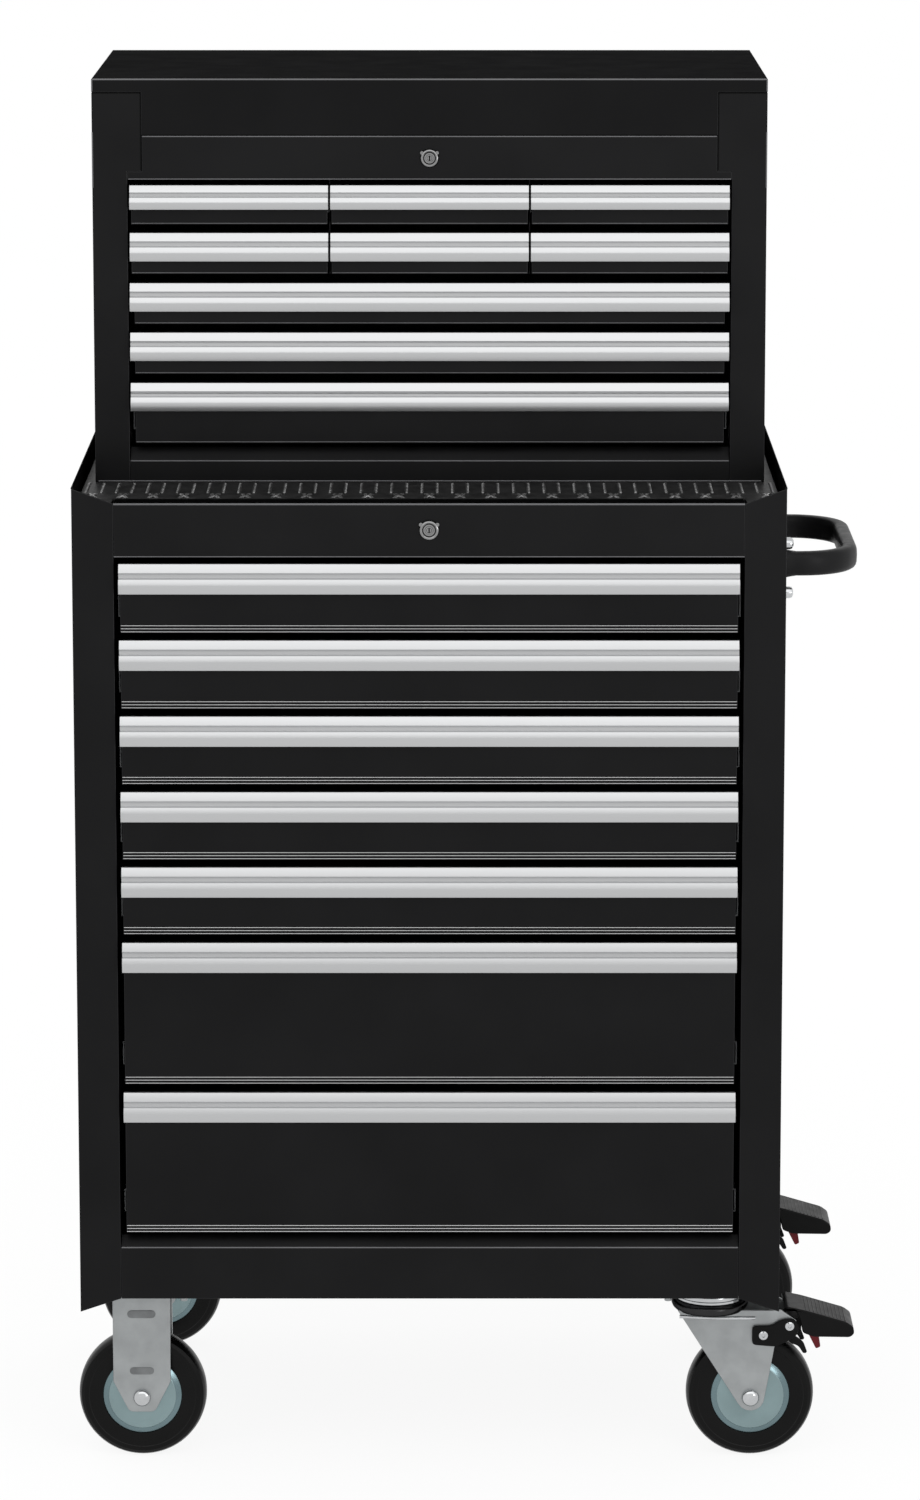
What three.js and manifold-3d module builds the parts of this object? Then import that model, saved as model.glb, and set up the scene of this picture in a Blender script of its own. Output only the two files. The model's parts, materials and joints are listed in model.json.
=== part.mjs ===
// Rolling tool chest: a lidded top chest standing on a drawer cabinet with casters and a push handle.
// Millimetres. +X is to the right, the front faces -Y, +Z is up and the floor is z = 0.
import * as THREE from "three";
import { mergeVertices } from "three/addons/utils/BufferGeometryUtils.js";
import Module from "manifold-3d";

const wasm = await Module();
wasm.setup();

// ---------------------------------------------------------------- driving dimensions

const SHEET = 1.5; // body panels
const TRAY_SHEET = 1.2; // drawers and the uprights between them
const RETURN = 15; // folded-back edges
const FIT = 0.3; // gap between pieces that touch
const PLAY = 0.5; // gap between folded panels
const OVERLAP = 1; // how far joined shapes reach into each other, and cutters past what they cut
const LAP = 10; // width over which two sheets of one piece are welded together

// Cabinet, with its front face at y = 0.
const CAB = {
  half: 343,
  depth: 457,
  foot: 165.5, // lower corners of the side panels
  floor: 179,
  sill: 231,
  open: 241.5, // lower edge of the front opening
  rail: 919, // upper edge of the front opening
  lock: 945.5,
  top: 971,
  lip: 985.5, // the side panels stand proud of the top as a lip
  openHalf: 303, // half the width between the front stiles
  stile: 20, // depth of the stiles
  pans: [21, 453], // front and rear of the floor and the top
  panFlange: 23,
  back: [171.5, 968], // lower and upper edge of the rear panel
};
const MAT = { half: 338, front: 28.6, back: 452.5, thick: 2.7 };

// Top chest, with its heights counted up from its own underside.
const CHEST = {
  half: 328,
  front: 125,
  back: 450,
  foot: CAB.top + FIT,
  sill: 20.7,
  open: 33.5,
  rail: 298, // upper edge of the front opening, and the shelf under the lid
  postFoot: 306, // the front posts are wider above this height
  lock: 319,
  tongue: 341, // lower edge of the lid's front flap
  tongueHalf: 280,
  lip: 383, // lower edge of the lid's rim
  upstand: 391, // upper edge of the walls inside the lid
  top: 396,
  openHalf: 294,
  stile: 18,
  bay: [145, 446], // front and rear of the floor and the shelf
  rim: 10, // raised edges of the floor and the shelf
};

// The sloping top edge of the sills below the drawers, and the flat strip behind it.
const SILL = { slope: 10, strip: 10 };

// Drawers: the top edge of each pull and the lower edge of each front.
const CAB_DRAWERS = [
  { pull: 914, bottom: 845 },
  { pull: 839.4, bottom: 770.4 },
  { pull: 764.8, bottom: 695.8 },
  { pull: 690.2, bottom: 621.2 },
  { pull: 615.6, bottom: 546.6 },
  { pull: 540.6, bottom: 396.6 },
  { pull: 390.5, bottom: 246.5 },
];
const CHEST_SMALL_ROWS = [
  { pull: 293.5, bottom: 254, pullHeight: 23.7 },
  { pull: 247, bottom: 205.5, pullHeight: 27.8 },
];
const CHEST_WIDE_ROWS = [
  { pull: 197.8, bottom: 156.2, pullHeight: 27.8 },
  { pull: 149.2, bottom: 107, pullHeight: 27.8 },
  { pull: 99.6, bottom: 38.5, pullHeight: 27.8 },
];
const COLUMN_PITCH = 195; // of the three columns of small drawers
const DRAWER = {
  cabinetFrontHalf: 297,
  chestFrontHalf: 288,
  columnGap: 4,
  cabinetDepth: 428,
  chestDepth: 290,
  slideSpace: 14, // between a tray and the wall beside it
  channel: 12, // thickness of the hollow front
  behindPull: 1.5, // the pull stands above the front by this much
  floorLift: 2,
  wallDrop: 12,
};
const PULL = { proud: 14, height: 29.2, overhang: 1, wideOverhang: 4 };

// Casters: fixed ones on the left, swivelling and braked ones on the right.
const CASTER = { y: [62, 395], fixedX: -286, swivelX: 278, trail: 40, axle: 6, legIn: 18.5, leg: 3 };
const WHEEL = { radius: 63.5, half: 16, chamfer: 5, bore: 7 };
const WHEEL_DISC = { radius: 41, rim: 3, recess: 1, hub: 18, hubProud: 1.5 };
const FORK = { half: 28.5, taper: 80, tip: 15, tipRadius: 6 };
const PLATE = { length: 104, width: 84, thick: 3, top: CAB.floor - FIT };
const RACE = { radius: 35, low: 162.5, crown: 34, crownTop: 162.1, crownLow: 152.5, pin: 6.5, bore: 7.5 };
const BRAKE = { x: 78, z: 133, pin: 4, bore: 4.7, hub: 9, hubHalf: 17.5, padHalf: 25 };

// Push handle on the right side panel, and the two locks.
const HANDLE = { y: [125, 335], z: 890, reach: 424, tall: 24, thick: 16, corner: 46, square: 0.6 };
const FLANGE = { half: 17, low: 850, high: 921, thick: 4 };
const LOCK = { flange: 10, face: 3, barrel: 8, bore: 9, length: 22, camHalf: 5, camDrop: 17 };

// ---------------------------------------------------------------- shape helpers

// Directions that a flat outline is drawn in and pushed along.
const FRAMES = {
  x: new THREE.Matrix4().makeBasis(
    new THREE.Vector3(0, 1, 0),
    new THREE.Vector3(0, 0, 1),
    new THREE.Vector3(1, 0, 0),
  ),
  y: new THREE.Matrix4().makeBasis(
    new THREE.Vector3(0, 0, 1),
    new THREE.Vector3(1, 0, 0),
    new THREE.Vector3(0, 1, 0),
  ),
  z: new THREE.Matrix4(),
};

function solid(geometry) {
  const bare = geometry.clone();
  bare.deleteAttribute("normal");
  bare.deleteAttribute("uv");
  const merged = mergeVertices(bare, 1e-4);
  const mesh = new wasm.Mesh({
    numProp: 3,
    vertProperties: new Float32Array(merged.attributes.position.array),
    triVerts: new Uint32Array(merged.index.array),
  });
  return new wasm.Manifold(mesh);
}

function geometryOf(body) {
  const mesh = body.getMesh();
  const geometry = new THREE.BufferGeometry();
  geometry.setAttribute("position", new THREE.BufferAttribute(mesh.vertProperties, 3));
  geometry.setIndex(new THREE.BufferAttribute(mesh.triVerts, 1));
  return geometry;
}

function block([x0, x1], [y0, y1], [z0, z1]) {
  const geometry = new THREE.BoxGeometry(x1 - x0, y1 - y0, z1 - z0);
  return solid(geometry.translate((x0 + x1) / 2, (y0 + y1) / 2, (z0 + z1) / 2));
}

function pushed(shape, axis, from, to) {
  const depth = to - from;
  const geometry = new THREE.ExtrudeGeometry(shape, { depth, bevelEnabled: false, curveSegments: 5 });
  geometry.translate(0, 0, from);
  return solid(geometry.applyMatrix4(FRAMES[axis]));
}

// An outline pushed along one axis. Its points are (y, z) along x, (x, z) along y and (x, y) along z.
function prism(axis, outline, from, to) {
  const swapped = axis === "y";
  const points = outline.map(([u, v]) => (swapped ? new THREE.Vector2(v, u) : new THREE.Vector2(u, v)));
  return pushed(new THREE.Shape(points), axis, from, to);
}

// The outline of a folded sheet: its outer line, thickened to the left of the way it runs.
function folded(line, thickness = SHEET) {
  const points = line.map(([u, v]) => new THREE.Vector2(u, v));
  const normals = points.slice(1).map((point, i) => {
    const along = point.clone().sub(points[i]).normalize();
    return new THREE.Vector2(-along.y, along.x);
  });
  const inner = points.map((point, i) => {
    const before = normals[Math.max(i - 1, 0)];
    const after = normals[Math.min(i, normals.length - 1)];
    const mitre = before.clone().add(after).divideScalar(1 + before.dot(after));
    return point.clone().addScaledVector(mitre, thickness);
  });
  return [...points, ...inner.reverse()].map((point) => [point.x, point.y]);
}

// Points on an arc about a centre, from one angle to another in degrees.
function arc([u, v], radius, from, to, steps = 6) {
  return Array.from({ length: steps + 1 }, (_, i) => {
    const angle = THREE.MathUtils.degToRad(from + ((to - from) * i) / steps);
    return [u + radius * Math.cos(angle), v + radius * Math.sin(angle)];
  });
}

// A round bar or disc about an axis through a point, given in the same order as prism's outlines.
function disc(axis, centre, radius, from, to, segments = 20) {
  return prism(axis, arc(centre, radius, 0, 360 - 360 / segments, segments - 1), from, to);
}

function join(...bodies) {
  return bodies.reduce((whole, body) => whole.add(body));
}

function mirrored(body) {
  return body.mirror([1, 0, 0]);
}

// ---------------------------------------------------------------- materials

function finish(color, roughness, metalness) {
  return () => new THREE.MeshStandardMaterial({ color, roughness, metalness });
}

const blackPaint = finish(0x1e1e1f, 0.42, 0.1);
const anodised = finish(0xc9cbcd, 0.3, 0.9);
const chrome = finish(0xbfc3c6, 0.15, 1);
const zinc = finish(0x8d9396, 0.35, 0.9);
const treadRubber = finish(0x242424, 0.85, 0);
const tyreRubber = finish(0x101010, 0.7, 0);
const gripPlastic = finish(0x202020, 0.55, 0);
const pedalPlastic = finish(0x171717, 0.4, 0);

const chest = new THREE.Group();

function place(name, body, material, [x, y, z] = [0, 0, 0], parent = chest) {
  const mesh = new THREE.Mesh(geometryOf(body), material());
  mesh.name = name;
  mesh.position.set(x, y, z);
  parent.add(mesh);
}

// ---------------------------------------------------------------- cabinet

// Side panel folded round the front into a stile and round the rear into a flange. Both ends of
// the stile slope, so that the side stands proud above the top and hangs below the floor.
function cabinetSide() {
  const { half, depth, foot, floor, top, lip, openHalf, stile } = CAB;
  const plan = folded([
    [-half + RETURN, depth],
    [-half, depth],
    [-half, 0],
    [-openHalf, 0],
    [-openHalf, stile],
  ]);
  const past = -openHalf + LAP;
  const above = [[-half, lip], [-openHalf, top], [past, top], [past, lip + LAP], [-half, lip + LAP]];
  const below = [[-half, foot], [-openHalf, floor], [past, floor], [past, foot - LAP], [-half, foot - LAP]];
  return prism("z", plan, foot, lip)
    .subtract(prism("y", above, -OVERLAP, depth + OVERLAP))
    .subtract(prism("y", below, -OVERLAP, depth + OVERLAP));
}

const cabinetBay = CAB.half - SHEET - PLAY;

function cabinetBack() {
  const inner = CAB.pans[1] + 2 * FIT;
  return block([-cabinetBay, cabinetBay], [inner, inner + SHEET], CAB.back);
}

function cabinetTopPan() {
  const level = CAB.top - MAT.thick - FIT;
  const flange = level - CAB.panFlange;
  const section = [[cabinetBay, flange], [cabinetBay, level], [-cabinetBay, level], [-cabinetBay, flange]];
  return prism("y", folded(section), ...CAB.pans);
}

// A folded sill in (y, z): a face standing on a floor, a sloping top edge and the strip behind it.
function sillSection(front, foot, sill, open, floorEnd) {
  const slopeEnd = front + SILL.slope;
  const stripEnd = slopeEnd + SILL.strip;
  return folded([[stripEnd, open], [slopeEnd, open], [front, sill], [front, foot], [floorEnd, foot]]);
}

function cabinetBottomPan() {
  const { floor, sill, open, openHalf, panFlange, pans } = CAB;
  const flange = floor + panFlange;
  const section = [[-cabinetBay, flange], [-cabinetBay, floor], [cabinetBay, floor], [cabinetBay, flange]];
  return join(
    prism("x", sillSection(0, floor, sill, open, pans[0] + LAP), -openHalf + FIT, openHalf - FIT),
    prism("y", folded(section), ...pans),
  );
}

function cabinetFrontRail() {
  const { rail, top, openHalf, lock } = CAB;
  const section = folded([[MAT.front - 2 * FIT, top], [0, top], [0, rail], [RETURN, rail]]);
  return prism("x", section, -openHalf + FIT, openHalf - FIT)
    .subtract(disc("y", [0, lock], LOCK.bore, -OVERLAP, SHEET + OVERLAP));
}

// The mat lies between the side lips, and its front corners reach forward inside the stiles.
function topMat() {
  const { half, front, back, thick } = MAT;
  const level = [CAB.top - thick, CAB.top];
  const stileEnd = CAB.openHalf + SHEET + FIT;
  const reach = [SHEET + PLAY, front + LAP];
  return join(
    block([-half, half], [front, back], level),
    block([stileEnd, half], reach, level),
    block([-half, -stileEnd], reach, level),
  );
}

place("cabinet_left_side", cabinetSide(), blackPaint);
place("cabinet_right_side", mirrored(cabinetSide()), blackPaint);
place("cabinet_back", cabinetBack(), blackPaint);
place("cabinet_top_pan", cabinetTopPan(), blackPaint);
place("cabinet_bottom_pan", cabinetBottomPan(), blackPaint);
place("cabinet_front_rail", cabinetFrontRail(), blackPaint);
place("top_mat", topMat(), treadRubber);

// ---------------------------------------------------------------- push handle

// The route of the bar's middle: out from the side, round two corners and back.
function handleRoute(root) {
  const { y: [front, rear], z, reach, thick, corner } = HANDLE;
  const outer = reach - thick / 2;
  const bend = outer - corner;
  const at = (x, y) => new THREE.Vector3(x, y, z);
  const route = new THREE.CurvePath();
  route.add(new THREE.LineCurve3(at(root, front), at(bend, front)));
  route.add(new THREE.QuadraticBezierCurve3(at(bend, front), at(outer, front), at(outer, front + corner)));
  route.add(new THREE.LineCurve3(at(outer, front + corner), at(outer, rear - corner)));
  route.add(new THREE.QuadraticBezierCurve3(at(outer, rear - corner), at(outer, rear), at(bend, rear)));
  route.add(new THREE.LineCurve3(at(bend, rear), at(root, rear)));
  return route;
}

// A bar bent into a D, standing out from the side, with a bolted flange at the foot of each arm.
function pushHandle() {
  const { tall, thick, square } = HANDLE;
  const squared = (value) => Math.sign(value) * Math.abs(value) ** square;
  const circle = arc([0, 0], 1, 15, 345, 11);
  const section = new THREE.Shape(
    circle.map(([u, v]) => new THREE.Vector2((squared(u) * tall) / 2, (squared(v) * thick) / 2)),
  );
  const wall = CAB.half + FIT;
  const sweep = { steps: 30, extrudePath: handleRoute(wall + OVERLAP), bevelEnabled: false };
  const bar = solid(new THREE.ExtrudeGeometry(section, sweep));
  const flanges = HANDLE.y.map((y) =>
    block([wall, wall + FLANGE.thick], [y - FLANGE.half, y + FLANGE.half], [FLANGE.low, FLANGE.high]),
  );
  return join(bar, ...flanges);
}

place("push_handle", pushHandle(), gripPlastic);

// ---------------------------------------------------------------- top chest

// Side panel folded into a stile at the front, wider near the top, and a flange at the rear. Its
// upper edge steps in, so that the lid's rim closes flush outside it.
function chestSide() {
  const { half, front, back, openHalf, stile, postFoot, lip, upstand, tongueHalf } = CHEST;
  const plan = folded([
    [-half + RETURN, back],
    [-half, back],
    [-half, front],
    [-openHalf, front],
    [-openHalf, front + stile],
  ]);
  const edge = lip - PLAY;
  const postHeight = [postFoot, edge];
  const post = -tongueHalf - PLAY;
  const step = -half + SHEET + FIT;
  const behindLid = [front + 2 * SHEET + 2 * PLAY, back];
  return join(
    prism("z", plan, 0, edge),
    block([-openHalf - SHEET, post], [front, front + SHEET], postHeight),
    block([post - SHEET, post], [front, front + RETURN], postHeight),
    block([-half, step + SHEET], behindLid, [edge - SHEET, edge]),
    block([step, step + SHEET], behindLid, [edge - SHEET, upstand]),
  );
}

function chestBack() {
  const inner = CHEST.half - 2 * SHEET - FIT - PLAY;
  const rear = CHEST.back - SHEET - FIT;
  return block([-inner, inner], [rear - SHEET, rear], [SHEET + OVERLAP, CHEST.upstand]);
}

const chestBay = CHEST.half - SHEET - PLAY;

// A level sheet with a raised edge down each side, in (x, z).
function traySection(level) {
  const edge = level + CHEST.rim;
  return folded([[-chestBay, edge], [-chestBay, level], [chestBay, level], [chestBay, edge]]);
}

function chestFloor() {
  const { front, sill, open, openHalf, bay } = CHEST;
  return join(
    prism("x", sillSection(front, 0, sill, open, bay[0] + LAP), -openHalf + FIT, openHalf - FIT),
    prism("y", traySection(0), ...bay),
  );
}

// The shelf under the lid, with the lock rail across its front and the two uprights that part the
// columns of small drawers hanging below it.
function chestTill() {
  const { front, rail, tongue, postFoot, openHalf, tongueHalf, bay, lock } = CHEST;
  const railTop = tongue - PLAY;
  const split = postFoot - FIT;
  const upper = folded([[front + RETURN, railTop], [front, railTop], [front, split]]);
  const lower = folded([[front, split], [front, rail], [bay[0] + LAP, rail]]);
  const uprightHeight = [CHEST_SMALL_ROWS[1].bottom - 2, rail + SHEET];
  const uprights = [-COLUMN_PITCH / 2, COLUMN_PITCH / 2].map((x) =>
    block([x - TRAY_SHEET / 2, x + TRAY_SHEET / 2], [front + RETURN, bay[1]], uprightHeight),
  );
  return join(
    prism("x", upper, -tongueHalf + FIT, tongueHalf - FIT),
    prism("x", lower, -openHalf + FIT, openHalf - FIT),
    prism("y", traySection(rail), ...bay),
    ...uprights,
  ).subtract(disc("y", [0, lock], LOCK.bore, front - OVERLAP, front + SHEET + OVERLAP));
}

// A shallow cap with no rear wall, and a flap with a hem down the middle of its front.
function chestLid() {
  const { half, front, back, lip, top, tongue, tongueHalf } = CHEST;
  const cap = block([-half, half], [front, back], [lip, top]);
  const inside = block(
    [-half + SHEET, half - SHEET],
    [front + SHEET, back + OVERLAP],
    [lip - OVERLAP, top - SHEET],
  );
  const flap = folded([[front, lip + LAP / 2], [front, tongue], [front + RETURN / 2, tongue]]);
  return join(cap.subtract(inside), prism("x", flap, -tongueHalf, tongueHalf));
}

const onCabinet = [0, 0, CHEST.foot];
place("chest_left_side", chestSide(), blackPaint, onCabinet);
place("chest_right_side", mirrored(chestSide()), blackPaint, onCabinet);
place("chest_back", chestBack(), blackPaint, onCabinet);
place("chest_floor", chestFloor(), blackPaint, onCabinet);
place("chest_till_tray", chestTill(), blackPaint, onCabinet);
place("chest_lid", chestLid(), blackPaint, onCabinet);

// ---------------------------------------------------------------- drawers

// A drawer about the middle of its front's lower edge: a hollow front made of a folded skin, and
// behind it an open tray.
function drawerTray(frontHalf, trayHalf, height, depth) {
  const { channel, floorLift, wallDrop } = DRAWER;
  const t = TRAY_SHEET;
  const wall = [floorLift, height - wallDrop];
  const length = [channel - t, depth];
  const skin = folded([[channel, height], [0, height], [0, 0], [channel, 0]], t);
  return join(
    prism("x", skin, -frontHalf, frontHalf),
    block([-trayHalf, trayHalf], [0, depth], [floorLift, floorLift + t]),
    block([-trayHalf, trayHalf], [channel - t, channel], [floorLift, height - t / 2]),
    block([-trayHalf, trayHalf], [depth - t, depth], wall),
    block([-trayHalf, -trayHalf + t], length, wall),
    block([trayHalf - t, trayHalf], length, wall),
  );
}

// A full-width pull: a sloping rounded ledge over a groove, a bulging band and a finger lip. Its
// outline is given in parts of its depth and height.
function drawerPull(half, height) {
  const at = (depth, rise) => [-PULL.proud * depth, height * rise];
  const shape = new THREE.Shape();
  shape.moveTo(-FIT, 0);
  shape.lineTo(-FIT, height);
  shape.lineTo(...at(0.34, 1));
  shape.quadraticCurveTo(...at(0.9, 0.97), ...at(0.93, 0.7));
  shape.lineTo(...at(0.8, 0.66));
  shape.lineTo(...at(0.8, 0.54));
  shape.quadraticCurveTo(...at(1.08, 0.46), ...at(0.98, 0.24));
  shape.quadraticCurveTo(...at(0.86, 0.05), ...at(0.5, 0));
  shape.lineTo(...at(0.5, 0.12));
  shape.lineTo(...at(0.18, 0.12));
  shape.lineTo(...at(0.18, 0));
  shape.closePath();
  return pushed(shape, "x", -half, half);
}

function addDrawer(name, spec, bay) {
  const { pull, bottom, pullHeight = PULL.height } = spec;
  const { x = 0, y, z, frontHalf, trayHalf, depth, overhang = PULL.overhang } = bay;
  const height = pull - DRAWER.behindPull - bottom;
  place(`${name}_tray`, drawerTray(frontHalf, trayHalf, height, depth), blackPaint, [x, y, z + bottom]);
  const pullBody = drawerPull(frontHalf + overhang, pullHeight);
  place(`${name}_pull`, pullBody, anodised, [x, y, z + pull - pullHeight]);
}

const cabinetDrawerBay = {
  y: 0,
  z: 0,
  frontHalf: DRAWER.cabinetFrontHalf,
  trayHalf: CAB.openHalf - DRAWER.slideSpace,
  depth: DRAWER.cabinetDepth,
};
CAB_DRAWERS.forEach((spec, i) => addDrawer(`cabinet_drawer_${i + 1}`, spec, cabinetDrawerBay));

const wideDrawerBay = {
  y: CHEST.front,
  z: CHEST.foot,
  frontHalf: DRAWER.chestFrontHalf,
  trayHalf: CHEST.openHalf - DRAWER.slideSpace,
  depth: DRAWER.chestDepth,
  overhang: PULL.wideOverhang,
};
CHEST_WIDE_ROWS.forEach((spec, i) => addDrawer(`chest_wide_drawer_${i + 1}`, spec, wideDrawerBay));

const smallDrawerBay = {
  ...wideDrawerBay,
  frontHalf: (COLUMN_PITCH - DRAWER.columnGap) / 2,
  trayHalf: COLUMN_PITCH / 2 - DRAWER.slideSpace,
  overhang: PULL.overhang,
};
const columns = { left: -COLUMN_PITCH, middle: 0, right: COLUMN_PITCH };
CHEST_SMALL_ROWS.forEach((spec, i) => {
  Object.entries(columns).forEach(([column, x]) => {
    addDrawer(`chest_small_drawer_${column}_${i + 1}`, spec, { ...smallDrawerBay, x });
  });
});

// ---------------------------------------------------------------- locks

// A cam lock lying along y, with its flange outside the rail and its cam hanging down inside.
function camLock() {
  const { flange, face, barrel, length, camHalf, camDrop } = LOCK;
  const profile = [
    [0, -face],
    [flange - OVERLAP, -face],
    [flange, -face + OVERLAP],
    [flange, -FIT],
    [barrel, -FIT],
    [barrel, length],
    [0, length],
  ];
  const turned = new THREE.LatheGeometry(profile.map(([r, y]) => new THREE.Vector2(r, y)), 24);
  const cam = block([-camHalf, camHalf], [length - OVERLAP, length + SHEET], [-camDrop, camHalf]);
  return join(solid(turned), cam);
}

place("cabinet_lock", camLock(), chrome, [0, 0, CAB.lock]);
place("chest_lock", camLock(), chrome, [0, CHEST.front, CHEST.foot + CHEST.lock]);

// ---------------------------------------------------------------- casters

// A wheel about its own axle, which lies along y.
function wheel() {
  const { radius, half, chamfer, bore } = WHEEL;
  const { rim, recess, hub, hubProud } = WHEEL_DISC;
  const upper = [
    [bore, half + hubProud],
    [hub, half + hubProud],
    [hub + 2, half - recess],
    [WHEEL_DISC.radius - rim, half - recess],
    [WHEEL_DISC.radius, half],
    [radius - chamfer, half],
    [radius, half - chamfer],
  ];
  const lower = upper.map(([r, y]) => [r, -y]).reverse();
  const ring = [...upper, ...lower, upper[0]].map(([r, y]) => new THREE.Vector2(r, y));
  return solid(new THREE.LatheGeometry(ring.reverse(), 28));
}

// Both legs of a fork, either side of the wheel, and the axle riveted through them.
function forkLegs(outline, axleX) {
  const { legIn, leg, axle } = CASTER;
  const axleHalf = legIn + OVERLAP;
  return join(
    prism("y", outline, legIn, legIn + leg),
    prism("y", outline, -legIn - leg, -legIn),
    disc("y", [axleX, WHEEL.radius], axle, -axleHalf, axleHalf, 16),
  );
}

function topPlate() {
  const { length, width, thick, top } = PLATE;
  return block([-length / 2, length / 2], [-width / 2, width / 2], [top - thick, top]);
}

// Straight legs that taper below the wheel's disc to a blunt tip with rounded corners.
function fixedFork() {
  const { half, taper, tip, tipRadius } = FORK;
  const shoulder = PLATE.top - OVERLAP;
  const cornerX = tip - tipRadius;
  const cornerZ = WHEEL.radius - tip + tipRadius;
  const outline = [
    [half, shoulder],
    [half, taper],
    ...arc([cornerX, cornerZ], tipRadius, -20, -90, 3),
    ...arc([-cornerX, cornerZ], tipRadius, -90, -160, 3),
    [-half, taper],
    [-half, shoulder],
  ];
  return join(topPlate(), forkLegs(outline, 0));
}

// The fixed half of a swivel: the bolted plate, the upper race and the king pin.
function swivelPlate() {
  const { radius, low, pin, crownLow } = RACE;
  return join(
    topPlate(),
    disc("z", [0, 0], radius, low, PLATE.top - OVERLAP, 28),
    disc("z", [0, 0], pin, crownLow - 5, low + OVERLAP, 16),
  );
}

// The turning half: the crown under the race, raked legs, and ears at the front that carry the
// brake pedal's pin.
function swivelFork() {
  const { crown, crownTop, crownLow, bore } = RACE;
  const { trail, legIn } = CASTER;
  const shoulder = crownLow + OVERLAP;
  const pinHalf = legIn + OVERLAP;
  const outline = [
    [-33, shoulder],
    [40, shoulder],
    [70, shoulder],
    [85, 143],
    [85, 127],
    [64, 119],
    [59, 90],
    ...arc([trail, WHEEL.radius], 14, 0, -150, 7),
  ];
  return join(
    disc("z", [0, 0], crown, crownLow, crownTop, 28),
    forkLegs(outline, trail),
    disc("y", [BRAKE.x, BRAKE.z], BRAKE.pin, -pinHalf, pinHalf, 12),
  ).subtract(disc("z", [0, 0], bore, crownLow - OVERLAP, crownTop + OVERLAP, 16));
}

// A wedge-shaped foot pedal on a hub that turns on the fork's brake pin.
function brakePedal() {
  const { x, z, bore, hub, hubHalf, padHalf } = BRAKE;
  const pad = [[89, 153.5], [136, 139], [142, 135], [142, 131], [139, 128.5], [89, 128]];
  const web = [[x, z + hub], [90, z + 12], [90, z - 5], [x, z - hub]];
  return join(
    prism("y", pad, -padHalf, padHalf),
    prism("y", web, -hubHalf, hubHalf),
    disc("y", [x, z], hub, -hubHalf, hubHalf, 16),
  ).subtract(disc("y", [x, z], bore, -hubHalf - OVERLAP, hubHalf + OVERLAP, 12));
}

["front", "rear"].forEach((end, i) => {
  const y = CASTER.y[i];
  place(`rigid_fork_${end}`, fixedFork(), zinc, [CASTER.fixedX, y, 0]);
  place(`rigid_wheel_${end}`, wheel(), tyreRubber, [CASTER.fixedX, y, WHEEL.radius]);
  place(`swivel_plate_${end}`, swivelPlate(), chrome, [CASTER.swivelX, y, 0]);
  const swivel = new THREE.Group();
  swivel.position.set(CASTER.swivelX, y, 0);
  chest.add(swivel);
  place(`swivel_fork_${end}`, swivelFork(), zinc, [0, 0, 0], swivel);
  place(`swivel_wheel_${end}`, wheel(), tyreRubber, [CASTER.trail, 0, WHEEL.radius], swivel);
  place(`brake_pedal_${end}`, brakePedal(), pedalPlastic, [0, 0, 0], swivel);
});

// The origin is on the floor under the middle of the whole outline, which runs from the left
// wheels to the push handle and from the drawer pulls to the back.
const leftEdge = CASTER.fixedX - WHEEL.radius;
chest.position.set(-(leftEdge + HANDLE.reach) / 2, (PULL.proud - CAB.depth) / 2, 0);

export default chest;
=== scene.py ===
"""Looks for the rolling tool chest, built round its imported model. Metres, the front faces -Y, +Z is up."""
import json
import math

import bmesh
import bpy
from mathutils import Matrix, Vector

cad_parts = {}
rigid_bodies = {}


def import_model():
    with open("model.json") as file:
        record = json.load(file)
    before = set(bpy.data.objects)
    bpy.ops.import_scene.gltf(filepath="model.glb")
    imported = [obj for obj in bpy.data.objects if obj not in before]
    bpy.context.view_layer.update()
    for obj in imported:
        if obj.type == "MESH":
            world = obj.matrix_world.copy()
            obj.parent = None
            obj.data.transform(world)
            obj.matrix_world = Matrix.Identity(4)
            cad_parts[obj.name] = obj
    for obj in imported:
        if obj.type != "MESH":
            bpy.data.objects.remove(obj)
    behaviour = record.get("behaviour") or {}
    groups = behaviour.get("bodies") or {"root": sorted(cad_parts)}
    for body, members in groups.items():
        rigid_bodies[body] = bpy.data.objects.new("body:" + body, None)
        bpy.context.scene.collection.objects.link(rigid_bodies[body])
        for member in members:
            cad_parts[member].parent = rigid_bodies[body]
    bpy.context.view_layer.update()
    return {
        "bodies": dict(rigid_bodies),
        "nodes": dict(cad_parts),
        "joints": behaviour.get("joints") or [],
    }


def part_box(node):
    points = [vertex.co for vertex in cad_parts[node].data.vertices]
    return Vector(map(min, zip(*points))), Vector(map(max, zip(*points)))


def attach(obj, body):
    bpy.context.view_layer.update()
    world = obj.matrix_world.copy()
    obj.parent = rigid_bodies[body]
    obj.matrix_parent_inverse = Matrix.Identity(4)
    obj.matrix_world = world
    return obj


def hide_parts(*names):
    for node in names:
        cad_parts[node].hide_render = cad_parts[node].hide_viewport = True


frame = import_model()
nodes = frame["nodes"]
MM = 0.001
BOTH = (-1, 1)  # the left and the right, or the front and the back, of something symmetrical

# ---------------------------------------------------------------- places

cabinet_low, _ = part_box("cabinet_left_side")
_, cabinet_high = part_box("cabinet_right_side")
rail_low, rail_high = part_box("cabinet_front_rail")
chest_low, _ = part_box("chest_left_side")
lid_low, lid_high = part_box("chest_lid")
CENTRE_X = (cabinet_low.x + cabinet_high.x) / 2

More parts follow.
